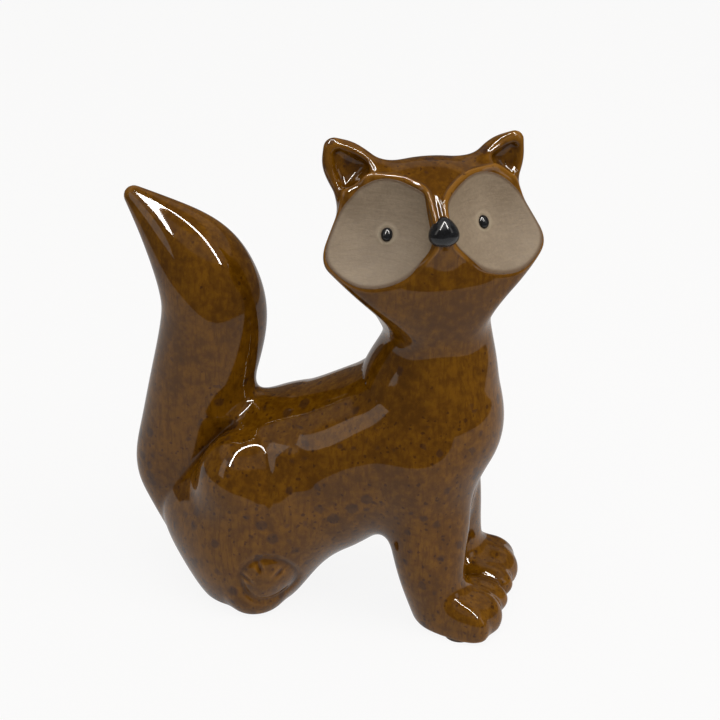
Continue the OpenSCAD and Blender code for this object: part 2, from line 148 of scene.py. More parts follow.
# Marks on the skin: where iron specks lie, and the bleed and the pale ring on the patches
SPECK_BODY_Z, SPECK_BROW_Z, SPECK_BROW, SPECK_LEAST = (92, 66), (138, 147), 0.75, 0.1
CLEAR_TAIL_X, CLEAR_TAIL_Z, CLEAR_TAIL = (-34, -46), (50, 66), 0.85
BLEED, BLEED_REACH, HALO, HALO_AT, HALO_WIDTH = 0.85, (1.15, 0.45), 0.8, 2.6, 0.7

# Distances over which slopes and bends of the field are taken
SETTLE_REACH, NORMAL_REACH, SINK_REACH, BEND_REACH = 0.15, 0.12, 0.3, 0.9

BALL_ROWS, BALL_COLUMNS = 28, 48

# Boxes that hold all of the body, the tail and the head
BODY_BOX = (-62, -36, -1), (67, 36, NECK_Z + 3)
TAIL_BOX = (-74, -22, 2), (-8, 22, 142)
HEAD_BOX = (0, -32, NECK_Z - 3), (70, 24, 165)


# ------------------------------------------------------------ closeness fields

def blend(a, b, k):
    """Smaller of two closeness values, rounded over a width k where they meet."""
    h = np.clip(0.5 + 0.5 * (b - a) / k, 0, 1)
    return b + (a - b) * h - k * h * (1 - h)


def carve(a, b, k):
    """Larger of two closeness values, rounded over a width k where they meet."""
    return -blend(-a, -b, k)


def ramp(v, low, high):
    """Smooth step from 0 at low to 1 at high: t squared times (3 - 2t)."""
    t = np.clip((v - low) / (high - low), 0, 1)
    return t * t * (3 - 2 * t)


def bump(v, middle, width):
    """Bell of height 1: exp of minus the squared distance from the middle over the width."""
    return np.exp(-((v - middle) / width) ** 2)


def turned(p, turn, tilt=0.0):
    """Points turned back by an angle about z and then tilted back about y, in degrees."""
    a, b = np.radians(turn), np.radians(tilt)
    x = p[:, 0] * np.cos(a) + p[:, 1] * np.sin(a)
    y = p[:, 1] * np.cos(a) - p[:, 0] * np.sin(a)
    z = p[:, 2]
    return np.stack([x * np.cos(b) + z * np.sin(b), y, z * np.cos(b) - x * np.sin(b)], 1)


def length(v):
    """Length of each row."""
    return np.sqrt((v * v).sum(1))


def round_gap(p, shape):
    """Closeness to a stretched ball: k(k - 1) over the length of its slope, k the scaled radius."""
    centre, half, turn, tilt = shape
    half = np.array(half, float)
    q = turned(p - np.array(centre, float), turn, tilt)
    k = length(q / half)
    return k * (k - 1) / np.maximum(length(q / half ** 2), 1e-4)


def curve_of(line, cuts, squeeze=(1, 1, 1)):
    """Stations joined by a cubic, cut into knots, and a spline of even bend laid through the knots.

    Gives the knots and their second slopes, from the usual equations of a
    natural cubic spline: each second slope with its neighbours, weighted
    1, 4, 1, is six times the knot's own second difference.
    """
    s = np.array(line, float)
    s[:, :3] /= squeeze
    s = np.vstack([2 * s[0] - s[1], s, 2 * s[-1] - s[-2]])
    t = np.arange(cuts)[:, None] / cuts
    parts = [
        0.5 * (2 * b + (c - a) * t + (2 * a - 5 * b + 4 * c - d) * t ** 2
               + (3 * b - a - 3 * c + d) * t ** 3)
        for a, b, c, d in zip(s[:-3], s[1:-2], s[2:-1], s[3:])
    ]
    knots = np.vstack(parts + [s[-2:-1]])
    n = len(knots)
    weights = 4 * np.eye(n) + np.eye(n, k=1) + np.eye(n, k=-1)
    weights[0], weights[-1] = np.eye(n)[0], np.eye(n)[-1]
    second = np.zeros_like(knots)
    second[1:-1] = 6 * (knots[2:] - 2 * knots[1:-1] + knots[:-2])
    return knots, np.linalg.solve(weights, second)


def curve_point(curve, u):
    """Point and radius of a spline at a parameter, with their first and second slopes."""
    knots, bends = curve
    i = np.clip(u.astype(int), 0, len(knots) - 2)
    t = (u - i)[:, None]
    a, b, m, n = knots[i], knots[i + 1], bends[i], bends[i + 1]
    s = 1 - t
    at = s * a + t * b + (s ** 3 - s) * m / 6 + (t ** 3 - t) * n / 6
    first = b - a + (1 - 3 * s ** 2) * m / 6 + (3 * t ** 2 - 1) * n / 6
    return at, first, s * m + t * n


def curve_gap(p, curve):
    """Closeness to a ball carried along a spline: least distance to it minus the ball's radius.

    The nearest straight piece between knots gives the first guess of the
    parameter, and two Newton steps on the distance less the radius refine it.
    """
    knots = curve[0]
    best, u = np.full(len(p), np.inf), np.zeros(len(p))
    for i, (a, b) in enumerate(zip(knots[:-1], knots[1:])):
        way = b[:3] - a[:3]
        d = p - a[:3]
        t = np.clip(d @ way / (way @ way), 0, 1)
        d -= t[:, None] * way
        gap = length(d) - a[3] - (b[3] - a[3]) * t
        closer = gap < best
        best[closer], u[closer] = gap[closer], i + t[closer]
    for _ in range(2):
        at, first, second = curve_point(curve, u)
        d = p - at[:, :3]
        far = np.maximum(length(d), 1e-6)
        along = (d * first[:, :3]).sum(1) / far
        speed = (first[:, :3] ** 2).sum(1)
        bend = (speed - along ** 2) / far - (d * second[:, :3]).sum(1) / far - second[:, 3]
        step = -(along + first[:, 3]) / np.maximum(bend, 0.2 * speed / far)
        u = np.clip(u - np.clip(step, -0.6, 0.6), 0, len(knots) - 1)
    at = curve_point(curve, u)[0]
    return length(p - at[:, :3]) - at[:, 3]


TORSO_CURVE = curve_of(TORSO_LINE, 2, (1, TORSO_FLAT, 1))
TAIL_CURVE = curve_of(TAIL_LINE, 2, (1, TAIL_FLAT, 1))
LEG_CURVE = curve_of(LEG_LINE, 2)
MUZZLE_CURVE = curve_of(MUZZLE_LINE, 1)
EAR_CURVE = curve_of(EAR_LINE, 2, (EAR_FLAT, 1, 1))
EAR_HOLLOW_CURVE = curve_of(EAR_HOLLOW_LINE, 2, (EAR_FLAT, 1, 1))


def torso_gap(p):
    """Torso and neck, a little narrower than they are deep."""
    return TORSO_FLAT * curve_gap(p / (1, TORSO_FLAT, 1), TORSO_CURVE)


def tail_gap(p):
    """Tail, a little narrower than it is deep."""
    return TAIL_FLAT * curve_gap(p / (1, TAIL_FLAT, 1), TAIL_CURVE)


def front_leg_gap(q):
    """Leg blended into three toes, for the left side."""
    inner, middle, outer = (round_gap(q, toe) for toe in TOES)
    toes = blend(blend(inner, middle, TOE_SOFT), outer, TOE_SOFT)
    return blend(curve_gap(q, LEG_CURVE), toes, ANKLE_SOFT)


def over(base, where, p, part):
    """Base with the values of part put in where a mask says that they matter."""
    out = base.copy()
    if where.any():
        out[where] = part(p[where], base[where])
    return out


def hind_blend(p, base):
    """Haunch, thigh and paw of both hind legs run into the torso."""
    for side in (-1, 1):
        q = p * (1, side, 1)
        drop = (0, 0, LEFT_THIGH_DROP * (side > 0))
        base = blend(base, round_gap(q, HAUNCH), HAUNCH_SOFT)
        base = blend(base, round_gap(q + drop, THIGH), THIGH_SOFT)
        base = blend(base, round_gap(q, HIND_PAW), HIND_PAW_SOFT)
        base = base + hind_relief(q)
    return base


def hind_relief(q):
    """Modelling of one flank: raised thigh behind a groove, and an oval paw in a ring groove.

    Heights are bells of the distance, seen from the side, from the thigh's
    middle, from a bowed line, from an ellipse and from three toe marks.
    """
    x, z = q[:, 0], q[:, 2]
    thigh = THIGH_RISE * bump(x, THIGH_MIDDLE[0], THIGH_SPREAD[0])
    thigh = thigh * bump(z, THIGH_MIDDLE[1], THIGH_SPREAD[1])
    bow = x - GROOVE_X + GROOVE_BOW * (z - GROOVE_Z) ** 2
    groove = GROOVE_DEPTH * bump(bow, 0, GROOVE_WIDTH) * ramp(z, *GROOVE_LOW) * ramp(z, *GROOVE_TOP)
    oval = np.hypot((x - OVAL_MIDDLE[0]) / OVAL_HALF[0], (z - OVAL_MIDDLE[1]) / OVAL_HALF[1])
    out = (oval - 1) * OVAL_MEAN
    paw = RING_DEPTH * bump(out, 0, RING_WIDTH) - OVAL_RISE * ramp(out, *OVAL_SLOPE)
    for mark_x, mark_z, lean in TOE_MARKS:
        across = (x - mark_x) * np.cos(lean) + (z - mark_z) * np.sin(lean)
        along = (z - mark_z) * np.cos(lean) - (x - mark_x) * np.sin(lean)
        paw = paw + MARK_DEPTH * bump(across, 0, MARK_WIDTH) * bump(along, 0, MARK_LENGTH)
    return ramp(q[:, 1], *FLANK_Y) * (groove + paw - thigh)


def front_blend(p, base):
    """Both front legs run into the chest and, less and less toward the paws, into each other."""
    right, left = front_leg_gap(p * (1, -1, 1)), front_leg_gap(p)
    pair_soft = PAIR_SOFT + PAIR_SOFTER * ramp(p[:, 2], *PAIR_Z)
    return blend(base, blend(right, left, pair_soft), LEG_SOFT)


def body_gap(p):
    """Torso with all four legs."""
    x, z = p[:, 0], p[:, 2]
    f = blend(torso_gap(p), round_gap(p, NAPE_FILL), NAPE_FILL_SOFT)
    f = over(f, (x < HIND_LEGS_X) & (z < LEGS_TOP_Z), p, hind_blend)
    return over(f, (x > FRONT_LEGS_X) & (z < LEGS_TOP_Z), p, front_blend)


def in_head(p):
    """Points in the head's own axes: x forward, y to the fox's left, z up."""
    return turned(p - HEAD_AT, -HEAD_TURN)


def from_head(q):
    """Points of the head's own axes back in the body's."""
    return turned(q, HEAD_TURN) + HEAD_AT


def skull_gap(q):
    """Stretched ball held between slanted planes, a little wider on the left side.

    The planes make the cheeks point outwards and the chin, brow and nape narrow.
    """
    side = np.abs(q[:, 1])
    left = 0.5 + 0.5 * np.tanh(q[:, 1] / LEFT_FADE)
    throat = side - CHEEK_HALF - LEFT_THROAT * left - THROAT_SLOPE * q[:, 2]
    brow = side - CHEEK_HALF - LEFT_BROW * left + BROW_SLOPE * q[:, 2]
    nape = side - NAPE_HALF - LEFT_NAPE * left - NAPE_SLOPE * (q[:, 0] - NAPE_X)
    skull = carve(brow / np.hypot(1, BROW_SLOPE), throat / np.hypot(1, THROAT_SLOPE), SKULL_SOFT)
    skull = carve(skull, round_gap(q, SKULL), SKULL_SOFT)
    skull = carve(skull, nape / np.hypot(1, NAPE_SLOPE), SKULL_SOFT)
    return blend(skull, curve_gap(q, MUZZLE_CURVE), MUZZLE_SOFT)


def one_side(q):
    """Points of both sides laid onto the left one, less their small difference in height."""
    lift = DISH_LIFT * np.tanh(q[:, 1] / DISH_LIFT_FADE)
    return np.stack([q[:, 0], np.abs(q[:, 1]), q[:, 2] - lift], 1)


def ball_gap(q):
    """Closeness to the ball that the eye patch of either side is pressed with."""
    return length(one_side(q) - DISH_CENTRE) - DISH_RADIUS


def bridge_gap(q):
    """Closeness to the wall left between the patches: upright at the bridge, flaring into the chin.

    Its half width grows below the nose as the root of the height squared plus
    a small constant, less the height, and its middle leans a little.
    """
    height = q[:, 2] - CHIN_Z
    root = np.sqrt(height ** 2 + CHIN_ROUND)
    half = BRIDGE_HALF + CHIN_FLARE * (root - height)
    middle = BRIDGE_Y + BRIDGE_LEAN * q[:, 2]
    return (np.abs(q[:, 1] - middle) - half) / np.hypot(1, CHIN_FLARE * (1 - height / root))


def pressed_gap(q):
    """Closeness to the pressed hollows: the ball, kept off the bridge of the nose and the chin."""
    return carve(ball_gap(q), -bridge_gap(q), BRIDGE_SOFT)


def rim_weight(q):
    """1 along the top and nose side of a patch, falling to 0 along its cheek and chin side."""
    up, out = q[:, 2] - DISH_LOW[2], np.abs(q[:, 1]) - DISH_LOW[1]
    return ramp(RIM_WAY[0] * up + RIM_WAY[1] * out, *RIM_FADE)


def plain_head_gap(q):
    """Neck and skull run together, before the eye patches are pressed in."""
    return blend(torso_gap(from_head(q)), skull_gap(q), NECK_SOFT)


def eye_distance(q):
    """Distance from the middle of the eye of either side."""
    return length(one_side(q) - EYE_AT)


def patched(q, skin):
    """Skin with a rolled rim raised round each patch and the patch pressed in as part of a ball.

    The rim is a bell of the distance outside the ball. The floor gets a low
    ring round the eye bead, as wet clay rises where a bead is pushed into it.
    """
    pressed, rim = pressed_gap(q), rim_weight(q)
    raised = skin - (RIM_BASE + RIM_RISE * rim) * bump(pressed, RIM_OUT, RIM_WIDTH)
    floor = -pressed - EYE_RING_RISE * bump(eye_distance(q), EYE_RING_FAR, EYE_RING_WIDTH)
    return carve(raised, floor, BARE_EDGE_SOFT + (RIM_EDGE_SOFT - BARE_EDGE_SOFT) * rim)


def ear_gap(q):
    """Flattened cone of the ear, cupped by a smaller one, both sides."""
    q = q - LEFT_EAR_SHIFT * (q[:, 1:2] > 0)
    v = np.stack([q[:, 0] / EAR_FLAT, np.abs(q[:, 1]), q[:, 2]], 1)
    cup = -EAR_FLAT * curve_gap(v, EAR_HOLLOW_CURVE)
    return carve(EAR_FLAT * curve_gap(v, EAR_CURVE), cup, CUP_SOFT)


def head_parts(p, base):
    """Neck and skull with patches and ears, near the head."""
    q = in_head(p)
    f = patched(q, blend(base, skull_gap(q), NECK_SOFT))
    return over(f, q[:, 2] > EARS_LOW_Z, q, lambda v, g: blend(g, ear_gap(v), EAR_SOFT))


def tail_blend(p, base):
    """Tail set against the rump in a sharp crease that softens into the notch above the back."""
    soft = CREASE_SOFT + NOTCH_SOFT * ramp(p[:, 2], *NOTCH_Z)
    return blend(base, tail_gap(p), soft)


def hand_wobble(p):
    """Slow unevenness of a hand-finished casting: three crossed waves, at most 0.2 mm."""
    x, y, z = p.T
    return 0.07 * (
        np.sin(x / 6.1 + 1.1 * np.sin(z / 9.3)) * np.sin(z / 7.7 + 0.6)
        + np.sin(y / 4.9 + 0.8 * np.sin(x / 8.2)) * np.sin(z / 5.3)
        + np.sin((x + y) / 8.8) * np.sin((z - y) / 6.4)
    )


def fox_gap(p):
    """The whole glazed skin: body, head, ears and tail, set down flat on its soles."""
    x, z = p[:, 0], p[:, 2]
    f = body_gap(p)
    f = over(f, (z > HEAD_LOW_Z) & (x > HEAD_BACK_X), p, head_parts)
    f = over(f, x < TAIL_FRONT_X, p, tail_blend)
    f = f + hand_wobble(p) * ramp(np.abs(f), 6, 0)
    return carve(f, SOLE_Z - z, SOLE_SOFT)


# ---------------------------------------------------------- skins from a field

def slope(f, p, e):
    """Slope of a field by central differences over a distance e."""
    return np.stack([f(p + s) - f(p - s) for s in np.eye(3) * e], 1) / (2 * e)


def normal(f, p, e):
    """Slope of a field brought to length 1."""
    grad = slope(f, p, e)
    return grad / np.maximum(length(grad), 1e-6)[:, None]


def bend(f, p, e):
    """Second slopes of a field along the three axes, summed."""
    middle = f(p)
    return sum(f(p + s) + f(p - s) - 2 * middle for s in np.eye(3) * e) / e ** 2


def field_on_grid(f, low, counts, step):
    """Field at every grid point. Far from the skin a point takes the value of a coarse grid."""
    skip = 4
    axes = [low[i] + step * np.arange(counts[i]) for i in range(3)]
    rough_axes = [a[::skip] + 0.5 * step * (skip - 1) for a in axes]
    rough = np.stack(np.meshgrid(*rough_axes, indexing="ij"), -1).reshape(-1, 3)
    rough = f(rough).reshape([len(a) for a in rough_axes])
    for i in range(3):
        rough = np.repeat(rough, skip, axis=i)
    values = rough[: counts[0], : counts[1], : counts[2]]
    near = np.abs(values) < step * skip * 1.6
    i, j, k = np.nonzero(near)
    values[near] = f(np.stack([axes[0][i], axes[1][j], axes[2][k]], 1))
    # The box's own walls count as outside, so that a skin cut off by them is closed there
    for i in range(3):
        edge = [slice(None)] * 3
        for end in (0, -1):
            edge[i] = end
            values[tuple(edge)] = np.maximum(values[tuple(edge)], 0.01)
    return values


def beside(at, axis, corner):
    """Cell beside each grid edge at one of the four corners round it."""
    cell = at.copy()
    cell[:, (axis + 1) % 3] -= corner[0]
    cell[:, (axis + 2) % 3] -= corner[1]
    return cell


def skin_of(f, box, step):
    """Skin where a field crosses zero: one point in each crossed cell, settled onto the field.

    Each point starts at the mean of the crossings on its cell's edges, and then
    moves down the slope by the field's value. Each crossed grid edge gives a
    four-sided face between the four cells around it, turned to face outwards.
    """
    low, high = np.array(box, float)
    counts = np.ceil((high - low) / step).astype(int) + 1
    values = field_on_grid(f, low, counts, step)
    total = np.zeros(tuple(counts - 1) + (3,))
    hits = np.zeros(tuple(counts - 1), int)
    corners = ((1, 1), (0, 1), (0, 0), (1, 0))
    crossings = []
    for axis in range(3):
        v0, v1 = np.delete(values, -1, axis), np.delete(values, 0, axis)
        at = np.argwhere((v0 < 0) != (v1 < 0))
        v0, v1 = v0[tuple(at.T)], v1[tuple(at.T)]
        crossings.append((at, v0 >= 0))
        point = low + step * at
        point[:, axis] += step * v0 / (v0 - v1)
        for corner in corners:
            cell = beside(at, axis, corner)
            keep = (cell >= 0).all(1) & (cell < counts - 1).all(1)
            where = tuple(cell[keep].T)
            np.add.at(total, where, point[keep])
            np.add.at(hits, where, 1)
    live = hits > 0
    number = np.full(hits.shape, -1)
    number[live] = np.arange(live.sum())
    points = total[live] / hits[live][:, None]
    quads = []
    for axis, (at, outside) in enumerate(crossings):
        inner = (at[:, (axis + 1) % 3] > 0) & (at[:, (axis + 2) % 3] > 0)
        at, outside = at[inner], outside[inner]
        ring = np.stack([number[tuple(beside(at, axis, corner).T)] for corner in corners], 1)
        ring[outside] = ring[outside][:, ::-1]
        quads.append(ring)
    quads = np.concatenate(quads)
    quads = quads[(quads >= 0).all(1)]
    for _ in range(2):
        grad = slope(f, points, SETTLE_REACH)
        size = np.maximum((grad ** 2).sum(1), 0.2)
        points = points - grad * np.clip(f(points) / size, -0.5 * step, 0.5 * step)[:, None]
    # Split each quad along its shorter diagonal
    corner = points[quads]
    first = length(corner[:, 0] - corner[:, 2]) <= length(corner[:, 1] - corner[:, 3])
    a, b = quads[first], quads[~first]
    faces = [a[:, [0, 1, 2]], a[:, [0, 2, 3]], b[:, [0, 1, 3]], b[:, [1, 2, 3]]]
    return points, np.concatenate(faces)


def cut(skin, side):
    """Both sides of a skin cut where a function of its points is zero, negative side first.

    Crossed edges get a point by linear interpolation, and each crossed triangle
    becomes one triangle on one side and two on the other.
    """
    points, faces = skin
    value = side(points)
    value = np.where(np.abs(value) < 1e-4, 1e-4, value)
    neg = value < 0
    count = neg[faces].sum(1)
    crossed = faces[(count == 1) | (count == 2)]
    lone = neg[crossed].sum(1) == 1
    turn = (neg[crossed] == lone[:, None]).argmax(1)
    tri = crossed[np.arange(len(crossed))[:, None], (turn[:, None] + np.arange(3)) % 3]
    edges = np.sort(np.concatenate([tri[:, [0, 1]], tri[:, [0, 2]]]), axis=1)
    keys, back = np.unique(edges, axis=0, return_inverse=True)
    back = back.reshape(-1)
    t = (value[keys[:, 0]] / (value[keys[:, 0]] - value[keys[:, 1]]))[:, None]
    fresh = points[keys[:, 0]] * (1 - t) + points[keys[:, 1]] * t
    everything = np.concatenate([points, fresh])
    ab, ac = len(points) + back[: len(tri)], len(points) + back[len(tri):]
    small = np.stack([tri[:, 0], ab, ac], 1)
    large = [np.stack([ab, tri[:, 1], tri[:, 2]], 1), np.stack([ab, tri[:, 2], ac], 1)]
    large = np.concatenate(large)
    twice = np.concatenate([lone, lone])
    inner = np.concatenate([faces[count == 3], small[lone], large[~twice]])
    outer = np.concatenate([faces[count == 0], small[~lone], large[twice]])
    return packed(everything, inner), packed(everything, outer)


def packed(points, faces):
    """Points and faces with the unused points dropped."""
    used, back = np.unique(faces, return_inverse=True)
    return points[used], back.reshape(faces.shape)


def open_edges(faces):
    """Directed edges that no face runs back along."""
    e = np.concatenate([faces[:, [0, 1]], faces[:, [1, 2]], faces[:, [2, 0]]])
    n = faces.max() + 1
    return e[~np.isin(e[:, 0] * n + e[:, 1], e[:, 1] * n + e[:, 0])]


def capped(points, faces):
    """Skin closed at its joints: every open loop gets a fan to its own middle.

    The points of a loop find each other by passing on the least label met so far.
    """
    e = open_edges(faces)
    if not len(e):
        return points, faces
    label = np.arange(len(points))
    while True:
        least = label.copy()
        np.minimum.at(least, e[:, 1], label[e[:, 0]])
        np.minimum.at(least, e[:, 0], label[e[:, 1]])
        least = least[least]
        if (least == label).all():
            break
        label = least
    names, back = np.unique(label[e[:, 0]], return_inverse=True)
    middles = np.stack([points[e[back == i, 0]].mean(0) for i in range(len(names))])
    fan = np.stack([e[:, 1], e[:, 0], len(points) + back], 1)
    return np.concatenate([points, middles]), np.concatenate([faces, fan])


# --------------------------------------------------------------- joint surfaces

def tail_side(p):
    """Negative where the tail is nearer than the body: the cut runs along their crease."""
    return tail_gap(p) - body_gap(p)


def above_neck(p):
    """Negative above the neck plane."""
    return NECK_Z - p[:, 2]


def on_left(p):
    """Negative on the fox's left."""
    return -p[:, 1]


def on_head_left(p):
    """Negative on the left of the turned head."""
    return -in_head(p)[:, 1]


def below_plane(p, at, tilt):
    """Negative below a plane through a point, tilted about Y."""
    d = p - at
    return d[:, 2] * np.cos(tilt) - d[:, 0] * np.sin(tilt)


def front_side(p):
    """Negative below the slanted shoulder plane and in front of the belly."""
    return np.maximum(below_plane(p, SHOULDER_AT, SHOULDER_TILT), SHOULDER_AT[0] - p[:, 0])


def below_ankle(p):
    """Negative below the slanted ankle plane."""
    return below_plane(p, ANKLE_AT, ANKLE_TILT)


def round_side(p, side, at, radius, start):
    """Negative inside a round cut, taken along Y, on one side of the body."""
    out = np.hypot(p[:, 0] - at[0], p[:, 2] - at[1]) - radius
    return np.maximum(start - side * p[:, 1], out)


def ear_side(p):
    """Negative where an ear is nearer than the head."""
    q = in_head(p)
    nearer = ear_gap(q) - plain_head_gap(q)
    return np.where((q[:, 2] > EAR_CUT) & (np.abs(q[:, 1]) > EAR_CUT), nearer, 1.0)


def patch_side(p):
    """Negative on the pressed floor, a little below where the plain head would be."""
    q = in_head(p)
    edge = np.maximum(plain_head_gap(q) + PATCH_CUT, PATCH_CUT - bridge_gap(q))
    return np.maximum(edge, ball_gap(q) - BALL_CUT)


# ------------------------------------------------------------- meshes and nodes

def put_in_scene(name, data):
    """New object in the scene for a mesh, lamp or camera."""
    placed = bpy.data.objects.new(name, data)
    bpy.context.scene.collection.objects.link(placed)
    return placed


def new_piece(name, node, slot, points, faces, normals=None, marks=None):
    """Object for one physical piece, in the frame's own place, riding on the root body."""
    mesh = bpy.data.meshes.new(name)
    mesh.vertices.add(len(points))
    mesh.vertices.foreach_set("co", (points * MM).astype(np.float32).ravel())
    size = faces.shape[1]
    mesh.loops.add(faces.size)
    mesh.loops.foreach_set("vertex_index", faces.astype(np.int32).ravel())
    mesh.polygons.add(len(faces))
    starts = np.arange(len(faces)) * size
    mesh.polygons.foreach_set("loop_start", starts.astype(np.int32))
    mesh.polygons.foreach_set("use_smooth", np.ones(len(faces), bool))
    mesh.update(calc_edges=True)
    for mark, values in (marks or {}).items():
        layer = mesh.attributes.new(mark, "FLOAT", "POINT")
        layer.data.foreach_set("value", values.astype(np.float32))
    if normals is not None:
        mesh.normals_split_custom_set_from_vertices(normals.astype(np.float32))
    if mesh.validate():
        raise RuntimeError(f"the mesh of {name} has faults")
    mesh.materials.append(finish(slot))
    piece = put_in_scene(name, mesh)
    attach(piece, "root")
    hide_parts(node)


def speck_share(p):
    """How thickly iron specks lie: many on rump, belly, legs and brow, few on neck and tail."""
    x, _y, z = p.T
    share = np.maximum(ramp(z, *SPECK_BODY_Z), ramp(z, *SPECK_BROW_Z) * SPECK_BROW)
    tail = ramp(x, *CLEAR_TAIL_X) * ramp(z, *CLEAR_TAIL_Z)
    return np.clip(share - CLEAR_TAIL * tail, SPECK_LEAST, 1)


def glazed_piece(node, points, faces):
    """Closed casting with the field's own normals and marks for glaze depth and specks.

    Glaze depth is 0.5 less half the summed bend of the field, so it is high in
    creases, where glaze runs together, and low on ridges, where it thins.
    """
    points, faces = capped(points, faces)
    depth = np.clip(0.5 - 0.5 * bend(fox_gap, points, BEND_REACH), 0, 1)
    marks = {"depth": depth, "specks": speck_share(points)}
    normals = normal(fox_gap, points, NORMAL_REACH)
    new_piece(f"{node}_casting", node, "honey_glaze", points, faces, normals, marks)


def sunk(points, depth):
    """Points moved into the fox along the skin's normal."""
    return points - depth * normal(fox_gap, points, SINK_REACH)


def wall(e, offset):
    """Band of faces between each open edge and its copy a fixed number of points further on."""
    a, b = e.T
    halves = [np.stack([b, a, a + offset], 1), np.stack([b, a + offset, b + offset], 1)]
    return np.concatenate(halves)


def patch_solid(points, faces, depth):
    """Clay floor, its copy sunk by the clay's thickness, and the wall round their edge."""
    n = len(points)
    faces = [faces, faces[:, ::-1] + n, wall(open_edges(faces), n)]
    return np.concatenate([points, sunk(points, depth)]), np.concatenate(faces)


def with_pockets(head, floors, depth):
    """Head skin closed behind its patches by the same sunk floors, joined at the shared edge."""
    points, faces = head
    for floor, tris in floors:
        n, start = len(floor), len(points)
        band = wall(open_edges(tris)[:, ::-1], n)
        points = np.concatenate([points, floor, sunk(floor, depth)])
        faces = np.concatenate([faces, tris + start + n, band + start])
    merged, back = np.unique(points.round(6), axis=0, return_inverse=True)
    return packed(merged, back.reshape(-1)[faces])


def ball_grid(rows, columns):
    """Directions over a closed ball with a point at each pole, and its faces."""
    u = np.pi * np.arange(1, rows) / rows
    v = 2 * np.pi * np.arange(columns) / columns
    uu, vv = np.meshgrid(u, v, indexing="ij")
    ring = np.stack([np.cos(uu), np.sin(uu) * np.cos(vv), np.sin(uu) * np.sin(vv)], -1)
    ring = ring.reshape(-1, 3)
    directions = np.vstack([ring, (1, 0, 0), (-1, 0, 0)])
    i, j = np.meshgrid(np.arange(rows - 2), np.arange(columns), indexing="ij")
    a, b = (i * columns + j).ravel(), (i * columns + (j + 1) % columns).ravel()
    c, d = a + columns, b + columns
    band = np.concatenate([np.stack([a, c, b], 1), np.stack([b, c, d], 1)])
    k = np.arange(columns)
    top, low = len(ring), len(ring) + 1
    last = (rows - 2) * columns
    caps = np.concatenate([
        np.stack([np.full(columns, top), k, (k + 1) % columns], 1),
        np.stack([np.full(columns, low), last + (k + 1) % columns, last + k], 1),
    ])
    return directions, np.concatenate([band, caps])


def facing(d, way):
    """Directions whose first axis is turned to run along way, second level, third upwards."""
    way = np.array(way, float) / np.linalg.norm(way)
    side = np.cross((0, 0, 1), way)
    side /= np.linalg.norm(side)
    return d[:, :1] * way + d[:, 1:2] * side + d[:, 2:] * np.cross(way, side)


# --------------------------------------------------------------------- finishes

def feed(socket, value):
    """Input linked to another node's output, or set to a plain value."""
    if isinstance(value, bpy.types.NodeSocket):
        socket.id_data.links.new(value, socket)
    else:
        socket.default_value = value


def add_node(tree, kind, settings=None, **inputs):
    """Node with its settings made and its inputs set or linked by name."""
    node = tree.nodes.new(kind)
    for key, value in (settings or {}).items():
        setattr(node, key, value)
    for key, value in inputs.items():
        name = key.replace("_", " ")
        feed(next(s for s in node.inputs if s.name == name and s.enabled), value)
    return node


def maths(operation, a, b, c=0.0, clamp=False):
    """Result of a maths node, in the node tree that its first input comes from."""
    node = a.id_data.nodes.new("ShaderNodeMath")
    node.operation, node.use_clamp = operation, clamp
    for socket, value in zip(node.inputs, (a, b, c)):
        feed(socket, value)
    return node.outputs[0]


def times(a, b, plus=0.0):
    """Product of two values with a third added to it."""
    return maths("MULTIPLY_ADD", a, b, plus)


def spread(value, low, high, to_low=0.0, to_high=1.0):
    """Value taken smoothly from one range to another."""
    node = value.id_data.nodes.new("ShaderNodeMapRange")
    node.interpolation_type = "SMOOTHSTEP"
    for socket, given in zip(node.inputs, (value, low, high, to_low, to_high)):
        feed(socket, given)
    return node.outputs["Result"]


def tinted(factor, a, b):
    """Colour a turned toward colour b by a factor."""
    node = factor.id_data.nodes.new("ShaderNodeMix")
    node.data_type = "RGBA"
    feed(node.inputs[0], factor)
    for socket, value in ((node.inputs[6], a), (node.inputs[7], b)):
        plain = not isinstance(value, bpy.types.NodeSocket)
        feed(socket, (*value, 1.0) if plain else value)
    return node.outputs[2]


def noise(where, scale, detail=2.0, roughness=0.5, distortion=0.0):
    """Value of a noise pattern."""
    node = add_node(where.id_data, "ShaderNodeTexNoise", Vector=where, Scale=scale,
                    Detail=detail, Roughness=roughness, Distortion=distortion)
    return node.outputs["Fac"]


def stretched(where, scale):
    """Place scaled along each axis, so that a pattern on it is stretched the other way."""
    node = add_node(where.id_data, "ShaderNodeMapping", {"vector_type": "POINT"},
                    Vector=where, Scale=scale)
    return node.outputs["Vector"]


def shaken(where, scale, reach):
    """Place moved about by a noise pattern."""
    tree = where.id_data
    shift = add_node(tree, "ShaderNodeTexNoise", Vector=where, Scale=scale, Detail=2.0)
    shift = add_node(tree, "ShaderNodeVectorMath", {"operation": "SCALE"},
                     Vector=shift.outputs["Color"], Scale=reach)
    moved = tree.nodes.new("ShaderNodeVectorMath")
    feed(moved.inputs[0], where)
    feed(moved.inputs[1], shift.outputs[0])
    return moved.outputs[0]


def mark(where, name):
    """Value that a piece's points carry under a name."""
    node = add_node(where.id_data, "ShaderNodeAttribute", {"attribute_name": name})
    return node.outputs["Fac"]


def spots(where, scale, radius, share):
    """Soft spots of random size in a share of the cells of a Voronoi pattern."""
    tree = where.id_data
    cells = add_node(tree, "ShaderNodeTexVoronoi", {"feature": "F1"}, Vector=where, Scale=scale)
    parts = add_node(tree, "ShaderNodeSeparateColor", Color=cells.outputs["Color"])
    reach = times(parts.outputs["Green"], radius, 0.45 * radius)
    inside = maths("SUBTRACT", reach, cells.outputs["Distance"])
    kept = maths("LESS_THAN", parts.outputs["Red"], share)
    return times(spread(inside, -0.25 * radius, 0.35 * radius), kept)


